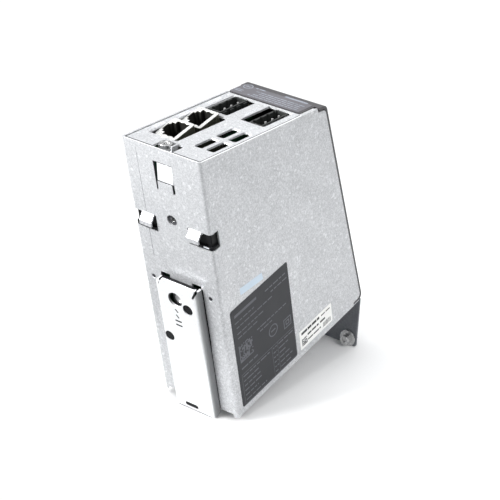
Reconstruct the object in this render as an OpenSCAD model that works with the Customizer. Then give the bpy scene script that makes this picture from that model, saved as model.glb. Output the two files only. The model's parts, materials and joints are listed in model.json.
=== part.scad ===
// Book-size servo drive module: folded steel shell, inclined connection
// plate, plastic front cover, sprung DIN rail slider and hanging shield
// flange. Millimetres, +Z up. The back plane is y = 0, the front faces -Y.
// The origin is the centre of the DIN rail on the back plane.

/* [Housing] */
// Width of the steel shell
body_w = 45; // [44:0.5:48]
// Height of the shell at its back edge
body_h = 148.3; // [147:0.1:150]
// Fall of the inclined top plate towards the front, degrees
top_slope = 13.8; // [13:0.1:14.5]
// Lean of the front edge from the vertical, degrees
front_slope = 6.6; // [6:0.1:7.2]
// Thickness of the folded sheet
sheet = 1.0; // [0.9:0.05:1.2]
// Outer radius of the two upright back corners
corner_r = 1.75; // [1.5:0.25:2.5]
// Height of the rail centre above the bottom of the shell
rail_z = 89.5; // [89:0.25:90.5]

/* [Rail slider] */
// Width of the sliding channel
slider_w = 24.5; // [23.5:0.25:25]
// Distance of the channel face from the back plane
slider_out = 4.8; // [4.6:0.1:5]
// Sheet of the channel
slider_sheet = 1.1; // [0.9:0.05:1.2]
// Outside radius of the channel's two bends
slider_bend = 1.9; // [1.7:0.1:2]
// Upper edge of the channel at rest
slider_top = 77.0; // [76.5:0.25:77.5]
// Lower edge of the channel at rest
slider_low = -1.2; // [-2:0.1:-1]
// Travel of the channel when it is levered down
slider_travel = 5.5; // [4:0.25:5.5]

/* [Flange] */
// Lean of the hanging flange from the vertical, degrees
flange_lean = 15.2; // [14:0.2:16.5]
// Length of the flange below the shell
flange_len = 28; // [26:0.5:29]
// Sheet of the flange
flange_sheet = 1.2; // [1:0.1:1.4]

/* [Connectors] */
// Pitch of the four pins in each header
pin_pitch = 5.08; // [4.9:0.02:5.12]
// Outside length of a header shroud
header_len = 20.6; // [20.4:0.1:21]
// Outside width of a header shroud
header_w = 7.4; // [7.2:0.1:7.8]
// Length of a jack along the depth of the drive
jack_len = 14.6; // [14.4:0.1:14.8]
// Width of a jack across the drive
jack_w = 12.1; // [11.9:0.05:12.15]

/* [Hidden] */
half_w = body_w / 2;
in_half = half_w - sheet;
fall = tan(top_slope);
lean = tan(front_slope);
// front edge of the metal sides, depth at the bottom
front_low = 104.3;
// cover skin proud of the metal
cover_proud = 1.35;
cover_t = 1.6;
lip_low = 0.75;
strip_d = 74;
notch_d = 84;
side_step = 2.3;
board_t = 1.6;
board_x = half_w - 5.1;
board_edge = 17;
board_front = 80;
slider_half = slider_w / 2;
slider_in = slider_out - slider_sheet;
spring_r = 1.0;
spring_wire = 0.45;
spring_top = 61.5;
spring_low = 47;
screw_hd = 6.2;
screw_x = 2.4;
screw_d = 6.6;
flange_screw_x = half_w - 5.6;
flange_screw_s = 24.4;
flange_d = 104.2;
jack_x = half_w - 11.2;
jack_rear_d = 23.05;
jack_front_d = 40.35;
jack_rear_top = 142;
jack_front_top = 138;
jack_deep = 21;
head_r_x = 10.7 - half_w;
head_l_x = half_w - 10.25;
head_r_d = 61.7;
head_l_d = 62;
hook_x = half_w - 8.9;

steel = [0.74, 0.76, 0.78];
black = [0.1, 0.1, 0.11];
gold = [0.85, 0.68, 0.3];

// ---- helpers -------------------------------------------------------
function unit(v) = v / norm(v);
function arc_at(a, b, c, r, n) =
    let (u = unit(a - b), v = unit(c - b),
         h = acos(u * v) / 2,
         o = b + unit(u + v) * r / sin(h),
         s = b + u * r / tan(h) - o,
         e = b + v * r / tan(h) - o,
         a0 = atan2(s.y, s.x),
         raw = atan2(e.y, e.x) - a0,
         turn = raw > 180 ? raw - 360 : raw < -180 ? raw + 360 : raw)
    [for (i = [0:n]) o + r * [cos(a0 + turn * i / n), sin(a0 + turn * i / n)]];
function softened(p, r, n = 5) = [for (i = [0:len(p) - 1])
    each (r[i] == 0 ? [p[i]]
        : arc_at(p[(i + len(p) - 1) % len(p)], p[i], p[(i + 1) % len(p)], r[i], n))];
function top_z(d) = body_h - fall * d;
function front_d(z) = front_low - lean * z;
// corner where a line drop below the top meets one out in front of the metal edge
function nose(drop, out) =
    let (d = (front_low + out - lean * (body_h - drop)) / (1 - lean * fall))
    [d, top_z(d) - drop];

// prism whose outline is given as [depth, height], centred on x
module side_prism(pts, w, x = 0) {
    translate([x + w / 2, 0, 0])
        rotate([90, 0, -90])
            linear_extrude(w)
                polygon(pts);
}

// prism seen from the back, outline [x, height], from depth d0 to d1
module back_prism(pts, d0, d1) {
    translate([0, -d0, 0])
        rotate([90, 0, 0])
            linear_extrude(d1 - d0)
                polygon(pts);
}

// frame lying on the inclined top at x and depth d
module on_top(x, d) {
    translate([x, -d, top_z(d)])
        rotate([top_slope, 0, 0])
            children();
}

// frame lying on the back face of the hanging flange, s down from its top
module on_flange(x, s) {
    translate([x, -flange_d + s * sin(flange_lean), -s * cos(flange_lean)])
        rotate([flange_lean - 90, 0, 0])
            children();
}

// block with two round upright corners towards the back
module round_back(hx, d0, d1, radius, z0, z1) {
    h = z1 - z0;
    r = max(0.3, radius);
    translate([-hx, -d1, z0])
        cube([2 * hx, d1 - d0 - r, h]);
    translate([r - hx, -d0 - r - 1, z0])
        cube([2 * (hx - r), r + 1, h]);
    for (s = [-1, 1])
        translate([s * (hx - r), -d0 - r, z0])
            cylinder(h = h, r = r, $fn = 48);
}

module plate(x0, x1, d0, d1, z0, z1) {
    translate([x0, -d1, z0])
        cube([x1 - x0, d1 - d0, z1 - z0]);
}

module across(d, z, r, x0, x1) {
    translate([x0, -d, z])
        rotate([0, 90, 0])
            cylinder(h = x1 - x0, r = r, $fn = 32);
}

module from_back(x, z, r, d0, d1) {
    translate([x, -d0, z])
        rotate([90, 0, 0])
            cylinder(h = d1 - d0, r = r, $fn = 40);
}

// ---- shell ---------------------------------------------------------
shell_side = softened(
    [[0, 0], [98, 0], [98, 2], [front_d(2), 2], nose(side_step, 0),
     [notch_d + 0.5, top_z(notch_d + 0.5) - side_step], [notch_d, top_z(notch_d)],
     [0, body_h]],
    [0, 0, 0, 2.5, 3, 0.3, 0, 0]);

module hook(x) {
    side_prism([[0, 109.6], [-3, 106.4], [-3, 104.1], [-2, 104.1],
        [-2, 106.0], [0.3, 108.4], [1, 108.4], [1, 109.6]], 6.8, x);
}

module rail_hooks() {
    color(steel)
        for (s = [-1, 1])
            hook(s * hook_x);
}

module housing_shell() {
    color(steel)
    difference() {
        intersection() {
            difference() {
                round_back(half_w, 0, 106, corner_r, 0, 150);
                round_back(in_half, sheet, 107, corner_r - sheet, -1, 151);
            }
            side_prism(shell_side, body_w + 2);
        }
        // cut-outs around the hooks, open round the corners
        for (s = [-1, 1]) {
            plate(min(s * (half_w - 13.2), s * (half_w + 1)),
                max(s * (half_w - 13.2), s * (half_w + 1)), -0.5, 5.3, 100.2, 108.4);
            plate(s * (half_w - 1) - 1.6, s * (half_w - 1) + 1.6, -0.5, 5.3, 100.2, 109.3);
            plate(s * hook_x - 3.4, s * hook_x + 3.4, -0.5, 1.5, 100.2, 109.6);
            plate(s * (hook_x + 5.8) - 1.9, s * (hook_x + 5.8) + 1.9, -0.5, 1.5, 100.2, 109.3);
            plate(s * (hook_x - 4.0) - 0.5, s * (hook_x - 4.0) + 0.5, -0.5, 1.5, 100.2, 109.3);
        }
        // window of the rear tongue, and the two slits under it
        plate(-5.3, -3.9, -1, 1.5, 125.3, 130.2);
        plate(-5.3, 5.4, -1, 1.5, 130.2, 141);
        plate(4.5, 5.4, -1, 1.5, 125.3, 130.3);
        // rear hole, guide slots and the two pierced dimples
        from_back(-0.4, 110, 2.8, -1, 2);
        for (s = [-1, 1])
            plate(s * 9.25 - 2.75, s * 9.25 + 2.75, -1, 1.5, 52, 76.7);
        for (p = [[-16.4, 71.1], [17.2, 71.7]]) {
            from_back(p.x, p.y, 0.45, -1, 2);
            translate([p.x, 0.01, p.y])
                rotate([90, 0, 0])
                    cylinder(h = 0.75, r1 = 1.5, r2 = 0.6, $fn = 40);
        }
        from_back(0.4, 66, 1.75, -1, 2);
        // the left wall runs lower, under the cover's strip
        side_prism([[strip_d, top_z(strip_d) - 1.8], [strip_d, body_h],
            [notch_d + 1, body_h], [notch_d + 1, top_z(notch_d + 1) - 1.8]], 3, half_w);
        // bottom edge of the back stands higher beside the slider
        back_prism([[1.1 - half_w, -1], [half_w - 1.1, -1],
            [half_w - 2.6, 1.9], [2.6 - half_w, 1.9]], -1, 2);
    }
    // tongue that leans inwards to its top, joined behind the sheet
    color(steel) {
        side_prism([[0.15, 130.65], [1.15, 130.65], [2.4, 140.6], [1.4, 140.6]], 9.1, -0.25);
        plate(-3.6, 4.2, 0.9, 1.9, 127.5, 131.5);
    }
}

module plate_slot(x0, x1, d0, d1, r) {
    c = cos(top_slope);
    on_top((x0 + x1) / 2, (d0 + d1) / 2)
        translate([-(x1 - x0) / 2, -(d1 - d0) / 2 / c, -9])
            linear_extrude(12)
                polygon(softened([[0, 0], [x1 - x0, 0],
                    [x1 - x0, (d1 - d0) / c], [0, (d1 - d0) / c]],
                    [r, r, r, r], 4));
}

module top_plate() {
    c = cos(top_slope);
    gap = 0.45;
    drop = 0.3;
    hx = in_half - gap;
    len = (strip_d - sheet - 2 * gap) / c;
    color(steel)
    difference() {
        union() {
            intersection() {
                on_top(0, strip_d - gap)
                    translate([-hx, 0, -sheet - drop])
                        cube([2 * hx, len + 2, sheet]);
                round_back(hx, sheet + gap, 90, corner_r - sheet - gap, 100, 150);
            }
            // narrow run beside the cover's strip
            on_top(0, notch_d - 0.3)
                translate([-hx, 0, -sheet - drop])
                    cube([hx + 2.4 - half_w, 12, sheet]);
            for (s = [-1, 1])
                on_top(s * (hx - sheet / 2), strip_d - gap)
                    translate([-sheet / 2, 0, -6])
                        cube([sheet, len - 8, 5.5]);
        }
        plate_slot(5.2 - half_w, 18.75 - half_w, 50.7, 72.5, 1);
        plate_slot(half_w - 19.1, half_w - 5.6, 50.3, 72.5, 1);
        plate_slot(half_w - 21.8, half_w - 4.85, 12.5, 47.9, 0.8);
        for (x = [3.6, 10.2], d = [13.5, 28.4])
            plate_slot(x - half_w, x + 4.6 - half_w, d, d + 12.5, 1.1);
        plate_slot(-5.6, 6.1, -3, 10.5, 1);
    }
}

module bottom_plate() {
    color(steel)
    difference() {
        union() {
            plate(-in_half + 0.3, in_half - 0.3, 6, 97, 1.0, 2.0);
            for (s = [-1, 1])
                plate(s * (in_half - 0.8) - 0.5, s * (in_half - 0.8) + 0.5, 6, 94, 1.5, 5.5);
        }
        plate(-12.4, 12.4, 22.6, 51.4, 0, 3);
        plate(-8.4, 8.4, 57.6, 76.4, 0, 3);
        for (x = [-15.5, 15.5], i = [0:6])
            plate(x - 2, x + 2, 14 + 9 * i, 20 + 9 * i, 0, 3);
    }
}

// ---- front cover ---------------------------------------------------
module front_cover() {
    t = cover_t;
    start = strip_d + 0.15;
    outer = softened([[98.1, lip_low], [front_d(lip_low) + cover_proud, lip_low],
        nose(0.05, cover_proud), [start, top_z(start) - 0.05],
        [start, top_z(start) - 0.05 - t], nose(0.05 + t, cover_proud - t),
        [front_d(lip_low) + cover_proud - t, lip_low + 0.95], [98.1, lip_low + 0.95]],
        [0, 3, 3.5, 0, 0, 2, 1.4, 0]);
    color(black)
    difference() {
        union() {
            // skin in front of the metal edges
            intersection() {
                side_prism(outer, body_w);
                union() {
                    plate(-half_w, half_w, 85.4, 110, -1, 140);
                    plate(2.6 - half_w, half_w, strip_d, 86, 100, 140);
                }
            }
            // inner walls that fit between the steel sides
            for (s = [-1, 1])
                side_prism([[84, 112], [front_d(112) + 0.2, 112],
                    [front_d(6) + 0.2, 6], [97, 6]], 1.4, s * (in_half - 1.1));
        }
        // room for the front edges of the steel sides
        for (s = [-1, 1])
            translate([0, -0.05, 0])
                side_prism(shell_side, sheet + 0.2, s * (half_w - sheet / 2));
        // windows of the four status lights
        for (i = [0:3])
            translate([-6 + 4 * i, -front_d(108) - 3, 108])
                rotate([-90, 0, 0])
                    cylinder(h = 8, d = 2.4, $fn = 32);
        // shallow field for the front label
        side_prism([[front_d(96) + cover_proud - 0.3, 96],
            [front_d(96) + 5, 96], [front_d(60) + 5, 60],
            [front_d(60) + cover_proud - 0.3, 60]], 30);
    }
}

module cover_label_strip() {
    c = cos(top_slope);
    color([0.36, 0.35, 0.37])
        on_top(1.3, 85.9)
            translate([-half_w + 2.6, 0, -0.045])
                cube([body_w - 4.6, 11.2 / c, 0.14]);
}

module front_label() {
    color([0.36, 0.35, 0.37])
        side_prism([[front_d(95.6) + cover_proud - 0.3, 95.6],
            [front_d(95.6) + cover_proud - 0.14, 95.6],
            [front_d(60.4) + cover_proud - 0.14, 60.4],
            [front_d(60.4) + cover_proud - 0.3, 60.4]], 29.2);
}

module light_pipes() {
    color([0.8, 0.85, 0.8])
        for (i = [0:3])
            translate([-6 + 4 * i, -front_d(108) - cover_proud + 0.1, 108])
                rotate([-90, 0, 0])
                    cylinder(h = 6, d = 2, $fn = 32);
}

module inner_liner() {
    // ledge that fills the foot of each hook opening
    color(black)
    intersection() {
        difference() {
            round_back(half_w - 0.2, 0.2, 12, corner_r - 0.2, 100.35, 102);
            round_back(in_half - 0.6, sheet + 0.6, 13, corner_r - sheet - 0.6, 96, 114);
        }
        union()
            for (s = [-1, 1])
                plate(s * (half_w - 6.4) - 6.6, s * (half_w - 6.4) + 6.6, 0, 5.15, 100, 103);
    }
    color(black)
    difference() {
        round_back(in_half - 0.25, sheet + 0.25, 12, corner_r - sheet - 0.25, 97, 113);
        round_back(in_half - 1.15, sheet + 1.15, 13, corner_r - sheet - 1.15, 96, 114);
        from_back(-0.4, 110, 4.6, 0, 4);
    }
}

module rear_nut() {
    color(steel)
    difference() {
        from_back(-0.4, 110, 4, sheet, sheet + 2.2);
        from_back(-0.4, 110, 1.25, 0, 5);
    }
}

// ---- shield flange -------------------------------------------------
module shield_flange() {
    t = flange_sheet;
    c = cos(flange_lean);
    s = sin(flange_lean);
    tip = [flange_d - flange_len * s, -flange_len * c];
    n = [c, -s];
    color([0.3, 0.31, 0.32])
    difference() {
        union() {
            // inner leg below the bottom plate
            plate(-in_half + 0.5, in_half - 0.5, 80, 98.5, -0.5, 0.6);
            // bend and hanging face
            side_prism(softened([[98.2, 0.6], [98.2, -0.5],
                [flange_d - 0.1, -0.5], tip, tip + t * n,
                flange_d * [1, 0] + t * n + [0.15, 0.95]],
                [0, 0, 0.4, 0.2, 0.2, 1.3]), body_w - 1.2);
        }
        for (k = [-1, 1])
            on_flange(k * flange_screw_x, flange_screw_s)
                translate([0, 0, -5])
                    cylinder(h = 10, d = 4.2, $fn = 40);
        // softened lower corners
        for (k = [-1, 1])
            on_flange(k * (half_w - 0.6), flange_len)
                rotate([0, 0, 45])
                    cube([0.9, 0.9, 8], center = true);
    }
}

module flange_screws() {
    color(steel)
        for (k = [-1, 1])
            on_flange(k * flange_screw_x, flange_screw_s) {
                translate([0, 0, -3.4])
                    cylinder(h = 6.4, d = 3.9, $fn = 40);
                difference() {
                    translate([0, 0, 0.95])
                        cylinder(h = 3.0, d = 5.0, $fn = 48);
                    translate([0, 0, 2.5])
                        cylinder(h = 2, d = 2.7, $fn = 6);
                }
            }
}

module flange_washers() {
    color(steel)
        for (k = [-1, 1])
            on_flange(k * flange_screw_x, flange_screw_s)
                difference() {
                    translate([0, 0, 0.05])
                        cylinder(h = 0.85, d = 9, $fn = 48);
                    translate([0, 0, -1])
                        cylinder(h = 3, d = 4.2, $fn = 40);
                }
}

module flange_nuts() {
    color(steel)
        for (k = [-1, 1])
            on_flange(k * flange_screw_x, flange_screw_s)
                difference() {
                    translate([0, 0, -flange_sheet - 2.4])
                        cylinder(h = 2.3, d = 7.6, $fn = 6);
                    translate([0, 0, -8])
                        cylinder(h = 9, d = 4.0, $fn = 40);
                }
}

// ---- sprung slider -------------------------------------------------
module din_slider() {
    t = slider_sheet;
    o = slider_out;
    r = slider_bend;
    h = slider_top - slider_low;
    color(steel)
    difference() {
        union() {
            // channel with two round bends
            translate([0, 0, slider_low])
                linear_extrude(h)
                    polygon(softened([[-slider_half, 0.35], [-slider_half, o],
                        [slider_half, o], [slider_half, 0.35],
                        [slider_half - t, 0.35], [slider_half - t, o - t],
                        [t - slider_half, o - t], [t - slider_half, 0.35]],
                        [0, r, r, 0, 0, r - t, r - t, 0], 8));
            for (s = [-1, 1]) {
                // lugs that pass the guide slots and hold behind the back
                plate(s * 11.05 - 0.6, s * 11.05 + 0.6, -1.3, 2.7, 61.5, 67.5);
                plate(s * 11.9 - 1.4, s * 11.9 + 1.4, 1.6, 2.7, 61.5, 67.5);
            }
            // tab that carries the lower end of the spring
            plate(-1.6, 2.4, -o + t - 0.2, -0.4, 45.2, 46.4);
        }
        // slanted relief cut, and the wall lower beside it
        back_prism([[-13.4, 77.75], [-12.4, 78.25], [-9.45, 72.35], [-10.45, 71.85]],
            -o - 1, 0.3 + r - o);
        from_back(-9.95, 72.1, 0.55, -o - 1, t - o + 0.2);
        plate(-13, 0.4 - slider_half, -o - 1, 1, 75.5, slider_top + 1);
        plate(-13, 1 + t - slider_half, r - o - 0.2, 1, 75.5, slider_top + 1);
        // corner cut away on the other side
        back_prism([[7.8, 77], [9.5, 75], [10.1, 73], [10.4, 73.1], [10, 74.7],
            [13, 74.2], [13, 79], [7.8, 79]], -o - 1, 1);
        from_back(1.2, 67.15, 4, -6, -2);
        from_back(-5.8, 63.75, 2.85, -6, -2);
        from_back(8.4, 42.65, 2.75, -6, -2);
        // screwdriver slot, half round ends
        for (k = [-1, 1])
            from_back(1.6 + k * 2.8, 1.5, 1.2, -6, -2);
        translate([-1.2, 2, 0.3])
            cube([5.6, 4, 2.4]);
        // rounded lower ends of the two side walls
        for (s = [-1, 1])
            side_prism(concat([[0.3, slider_low - 0.5], [-3.2, slider_low - 0.5]],
                [for (i = [0:6]) [-3.2 + 3.2 * sin(i * 15),
                    slider_low + 3.2 - 3.2 * cos(i * 15)]],
                [[0.3, slider_low + 3.2]]), 2.4, s * (slider_half - 0.2));
    }
}

module slider_spring() {
    h = spring_top - spring_low;
    turns = 13;
    part = spring_wire * turns / h * 360;
    // eye round the neck of the post, and its stem
    color(steel) {
        translate([0.4, 0.72, 66])
            rotate([90, 0, 0])
                rotate_extrude($fn = 32)
                    translate([2.0, 0])
                        circle(r = 0.22, $fn = 12);
        translate([0.18, 0.5, spring_top - 0.5])
            cube([0.44, 0.44, 2.8]);
        translate([-0.05, 0.5, spring_low])
            cube([0.9, 2.0, 0.5]);
    }
    color(steel)
        translate([0.4, 1.6, spring_low])
            linear_extrude(height = h, twist = -360 * turns, slices = 12 * turns)
                polygon(concat(
                    [for (i = [0:5]) (spring_r + spring_wire / 2)
                        * [cos(part * i / 5), sin(part * i / 5)]],
                    [for (i = [5:-1:0]) (spring_r - spring_wire / 2)
                        * [cos(part * i / 5), sin(part * i / 5)]]));
}

module spring_post() {
    color(steel) {
        from_back(0.4, 66, 1.7, -1.1, 1.0);
        from_back(0.4, 66, 2.75, -2.6, -1.1);
        from_back(0.4, 66, 2.6, 1.0, 1.8);
    }
}

// ---- jacks ---------------------------------------------------------
// plug opening seen from above: wide body and two narrower latch steps
module jack_mouth() {
    for (step = [[-4.2, 2.6, 5.85], [2.5, 4.4, 3.9], [4.3, 5.5, 2.45]])
        translate([step[0], -step[2]])
            square([step[1] - step[0], 2 * step[2]]);
}

module jack_block(dc, inset, z0, z1) {
    w = jack_w / 2 - inset;
    l = jack_len / 2 - inset;
    r = 1.3 - inset;
    translate([jack_x, -dc, z0])
        linear_extrude(z1 - z0)
            polygon(softened([[-w, -l], [w, -l], [w, l], [-w, l]], [r, r, r, r], 6));
}

module jack_shield(dc, zt) {
    color(steel)
    difference() {
        jack_block(dc, 0, zt - jack_deep, zt);
        jack_block(dc, 0.35, zt - jack_deep + 0.35, zt - 0.5);
        translate([jack_x, -dc, zt - 2])
            linear_extrude(3)
                difference() {
                    jack_mouth();
                    // spring tongues bulge into both ends of the opening
                    for (x = [-2.5, 0.7], k = [-1, 1])
                        translate([x, k * 7.35])
                            circle(r = 1.9, $fn = 48);
                }
    }
}

module jack_insert(dc, zt) {
    color([0.13, 0.13, 0.12])
    difference() {
        jack_block(dc, 0.4, zt - jack_deep + 0.4, zt - 0.55);
        translate([jack_x, -dc, zt - 15])
            linear_extrude(16)
                jack_mouth();
    }
}

module jack_contacts(dc, zt) {
    color(gold)
        for (i = [-3.5:3.5])
            side_prism([[dc + 1.02 * i - 0.2, zt - 14.9], [dc + 1.02 * i + 0.2, zt - 14.9],
                [dc + 1.02 * i + 0.2, zt - 5], [dc + 1.02 * i - 0.2, zt - 5]],
                0.5, jack_x - 3.6);
}

module jack_shield_rear() { jack_shield(jack_rear_d, jack_rear_top); }
module jack_shield_front() { jack_shield(jack_front_d, jack_front_top); }
module jack_insert_rear() { jack_insert(jack_rear_d, jack_rear_top); }
module jack_insert_front() { jack_insert(jack_front_d, jack_front_top); }
module jack_contacts_rear() { jack_contacts(jack_rear_d, jack_rear_top); }
module jack_contacts_front() { jack_contacts(jack_front_d, jack_front_top); }

// ---- four-pin headers ----------------------------------------------
// key: side (+1 or -1) of the wall with the coding ribs
module header_body(x, d, key) {
    w = header_w;
    l = header_len;
    color([0.14, 0.17, 0.15])
        on_top(x, d)
            difference() {
                union() {
                    translate([-w / 2, -l / 2, -13])
                        cube([w, l, 12.4]);
                    for (i = [-1.5:1.5])
                        translate([key * (w / 2 + 0.35), pin_pitch * i, -7])
                            cube([0.9, 2.6, 12], center = true);
                }
                translate([-w / 2 + 0.8, -l / 2 + 0.8, -10.2])
                    cube([w - 1.9, l - 1.6, 12]);
                for (i = [-1.5:1.5])
                    translate([w / 2 - 1.5, pin_pitch * i, -9])
                        cylinder(h = 12, r = 1.15, $fn = 32);
                for (i = [-1.5:1.5])
                    translate([0, pin_pitch * i, -14])
                        cylinder(h = 5, d = 1.0, $fn = 24);
            }
}

module header_pins(x, d, to_board) {
    color(steel)
        on_top(x, d)
            for (i = [-1.5:1.5]) {
                translate([0, pin_pitch * i, -14.5])
                    cylinder(h = 12.7, d = 0.98, $fn = 24);
                translate([0, pin_pitch * i, -14.5])
                    rotate([0, to_board * 90, 0])
                        cylinder(h = abs(board_x - abs(x)) + 0.2, d = 0.9, $fn = 24);
            }
}

module header_right() { header_body(head_r_x, head_r_d, -1); }
module header_right_pins() { header_pins(head_r_x, head_r_d, -1); }
module header_left() { header_body(head_l_x, head_l_d, -1); }
module header_left_pins() { header_pins(head_l_x, head_l_d, 1); }

// ---- earth screw ---------------------------------------------------
module ground_screw() {
    color([0.85, 0.85, 0.86])
        on_top(screw_x, screw_d)
            difference() {
                union() {
                    translate([0, 0, -1.55])
                        cylinder(h = 2.0, d = screw_hd, $fn = 48);
                    translate([0, 0, -5.2])
                        cylinder(h = 4.2, d = 3.9, $fn = 40);
                }
                for (a = [0, 90])
                    rotate([0, 0, a + 20])
                        translate([-1.9, -0.45, -0.75])
                            cube([3.8, 0.9, 2]);
            }
}

module ground_washer() {
    color([0.8, 0.8, 0.81])
        on_top(screw_x, screw_d)
            difference() {
                translate([0, 0, -2.4])
                    cylinder(h = 0.8, d = 6.4, $fn = 48);
                translate([0, 0, -4])
                    cylinder(h = 4, d = 4.1, $fn = 40);
            }
}

module ground_lug() {
    // leg down behind the tongue
    color(steel)
        plate(-1.7, 3.5, 2.75, 3.5, 131, top_z(3) - 2.9);
    color(steel)
        on_top(screw_x, screw_d)
            difference() {
                union() {
                    translate([-4.4, -3.7, -3.6])
                        cube([8.2, 8, 1.15]);
                    // upturned ear beside the screw head
                    translate([-4.4, -3.7, -3.6])
                        cube([1.0, 4.4, 3.5]);
                }
                translate([0, 0, -6])
                    cylinder(h = 6, d = 4.1, $fn = 40);
            }
}

// ---- labels --------------------------------------------------------
module side_label() {
    color([0.26, 0.26, 0.27])
        translate([-half_w - 0.15, -49.3, 3.5])
            cube([0.14, 44.4, 58.5]);
}

module rating_sticker() {
    color([0.93, 0.93, 0.92])
        translate([-half_w - 0.15, -79.4, 3.95])
            cube([0.14, 27.1, 11.45]);
}

module small_sticker() {
    color([0.85, 0.9, 0.95])
        side_prism([[13.9, 70], [30.5, 68], [31, 64], [14.1, 66]], 0.14, -half_w - 0.08);
}

// ---- boards and parts inside ---------------------------------------
board_line = [[12, 9], [92, 9], [84, 112], [50, 119], [50, 131], [12, 138], [9, 120], [9, 30]];

module control_board() {
    color([0.1, 0.32, 0.2])
    difference() {
        side_prism(board_line, board_t, board_x + board_t / 2);
        for (d = [board_edge, board_front], z = [16, 104])
            across(d, z, 1.6, board_x - 1, board_x + 3);
    }
}

module power_board() {
    color([0.12, 0.35, 0.2])
    difference() {
        side_prism([[12, 9], [92, 9], [84, 114], [10, 114]], board_t, -board_x - board_t / 2);
        for (d = [board_edge, board_front], z = [16, 104])
            across(d, z, 1.6, -board_x - 3, -board_x + 1);
    }
}

module board_spacers() {
    color(gold)
        for (d = [board_edge, board_front], z = [16, 104])
            difference() {
                across(d, z, 2.8, -board_x + 0.02, board_x - 0.02);
                across(d, z, 1.4, -board_x - 1, -board_x + 6);
                across(d, z, 1.4, board_x - 6, board_x + 1);
            }
}

module board_screws() {
    color(steel)
        for (d = [board_edge, board_front], z = [16, 104], s = [-1, 1]) {
            across(d, z, 1.35, s * (board_x - 1) - 3, s * (board_x - 1) + 3);
            across(d, z, 2.6, s * (board_x + board_t + 0.75) - 0.7,
                s * (board_x + board_t + 0.75) + 0.7);
        }
}

module link_capacitors() {
    color([0.12, 0.16, 0.3])
        for (d = [33, 51], z = [85.5])
            difference() {
                across(d, z, 8, -board_x + 0.05, -board_x + 26);
                across(d, z, 6.6, -board_x + 25.6, -board_x + 27);
            }
}

module transformer() {
    color([0.2, 0.19, 0.18])
        difference() {
            plate(-board_x + 0.05, -board_x + 18, 60, 84, 74, 94);
            plate(-board_x + 13, -board_x + 19, 64, 68, 72, 96);
            plate(-board_x + 13, -board_x + 19, 76, 80, 72, 96);
        }
    color([0.55, 0.35, 0.15])
        plate(-board_x + 17.9, -board_x + 20, 68.2, 75.8, 76, 92);
}

module power_transistors() {
    color([0.12, 0.12, 0.13])
        for (i = [0:2])
            plate(-board_x + 0.05, -board_x + 4.8, 26 + 17 * i, 37 + 17 * i, 55.5, 70);
}

module heat_spreader() {
    color([0.8, 0.81, 0.82])
        difference() {
            plate(-board_x + 4.9, -board_x + 13, 24, 73, 54, 71.5);
            for (i = [0:7])
                plate(-board_x + 7, -board_x + 14, 26.4 + 6 * i, 29.6 + 6 * i, 53, 73);
        }
}

module controller_chip() {
    color([0.13, 0.13, 0.14])
        plate(board_x - 2.3, board_x - 0.05, 30, 52, 84.5, 106.5);
}

module board_link() {
    color([0.15, 0.15, 0.15])
        plate(-board_x + 0.05, board_x - 0.05, 56, 61, 97, 112);
}

module motor_socket() {
    color([0.14, 0.17, 0.15])
        difference() {
            plate(-12, 12, 23, 51, 0.6, 18);
            plate(-10.6, 10.6, 24.4, 49.6, -1, 12);
        }
}

module motor_pins() {
    color(steel)
        for (i = [-1.5:1.5])
            plate(-0.5, 0.5, 35.8 + 6 * i, 38.2 + 6 * i, 2.5, 12);
}

module encoder_socket() {
    color([0.14, 0.15, 0.14])
        difference() {
            plate(-8, 8, 58, 76, 0.6, 18);
            plate(-5.9, 4.9, 61, 73, -1, 13);
            plate(4.5, 6.4, 64, 70, -1, 11);
        }
}

translate([0, 0, -rail_z]) {
    housing_shell();
    rail_hooks();
    top_plate();
    bottom_plate();
    front_cover();
    cover_label_strip();
    front_label();
    light_pipes();
    inner_liner();
    rear_nut();
    shield_flange();
    flange_screws();
    flange_washers();
    flange_nuts();
    din_slider();
    slider_spring();
    spring_post();
    jack_shield_rear();
    jack_shield_front();
    jack_insert_rear();
    jack_insert_front();
    jack_contacts_rear();
    jack_contacts_front();
    header_right();
    header_right_pins();
    header_left();
    header_left_pins();
    ground_screw();
    ground_washer();
    ground_lug();
    side_label();
    rating_sticker();
    small_sticker();
    control_board();
    power_board();
    board_spacers();
    board_screws();
    link_capacitors();
    transformer();
    power_transistors();
    heat_spreader();
    controller_chip();
    board_link();
    motor_socket();
    motor_pins();
    encoder_socket();
}
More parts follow.
